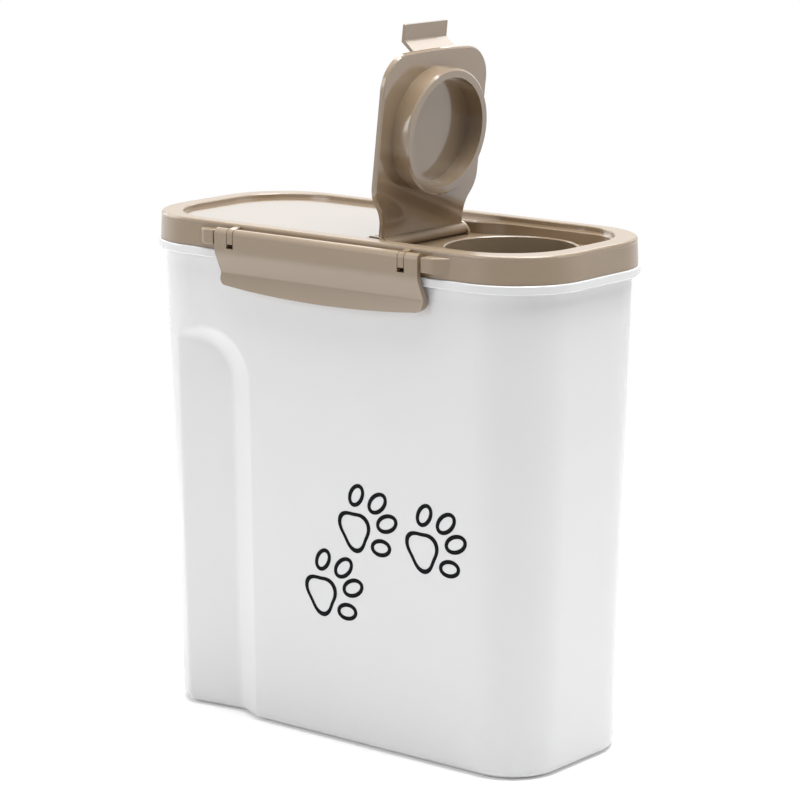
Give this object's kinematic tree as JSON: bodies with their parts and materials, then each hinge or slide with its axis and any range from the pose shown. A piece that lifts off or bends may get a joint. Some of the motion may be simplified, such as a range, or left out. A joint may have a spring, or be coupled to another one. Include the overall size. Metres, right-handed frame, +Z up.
{
  "type": "pet food storage box",
  "caption": "Narrow tapering keeper for dry pet food, with a sealed clip-down lid, two long side latches and a hinged pour flap standing open.",
  "frame": {"origin": "centre of the bounding box at the face the box stands on", "axes": "+Z up, +X along the box towards its pouring end, -Y towards the printed front"},
  "size_m": [0.2418, 0.116, 0.3368],
  "materials": {
    "white_plastic": "glossy",
    "taupe_plastic": "satin, glossy on the sunk top panel",
    "seal_rubber": "matte"
  },
  "bodies": {
    "container": {"container": "white_plastic"},
    "lid": {"lid": "taupe_plastic", "lid_seal": "seal_rubber"},
    "flap": {"pour_flap": "taupe_plastic"},
    "latch_front": {"latch_front": "taupe_plastic"},
    "latch_back": {"latch_back": "taupe_plastic"}
  },
  "joints": [
    {"name": "lid_lift", "type": "slide", "parent": "container", "child": "lid", "axis": [0, 0, 1], "range_m": [0, 0.045]},
    {"name": "flap_hinge", "type": "hinge", "parent": "lid", "child": "flap", "pos_m": [0.018, 0, 0.2377], "axis": [0, -1, 0], "range_deg": [-83.5, 36.5]},
    {"name": "latch_front_hinge", "type": "hinge", "parent": "lid", "child": "latch_front", "pos_m": [0, -0.0554, 0.2382], "axis": [-1, 0, 0], "range_deg": [0, 120]},
    {"name": "latch_back_hinge", "type": "hinge", "parent": "lid", "child": "latch_back", "pos_m": [0, 0.0554, 0.2382], "axis": [1, 0, 0], "range_deg": [0, 120]}
  ],
  "couplings": [
    {"joint": "latch_front_hinge", "follows": "lid_lift", "rad_per_m": 46.5},
    {"joint": "latch_back_hinge", "follows": "lid_lift", "rad_per_m": 46.5}
  ]
}
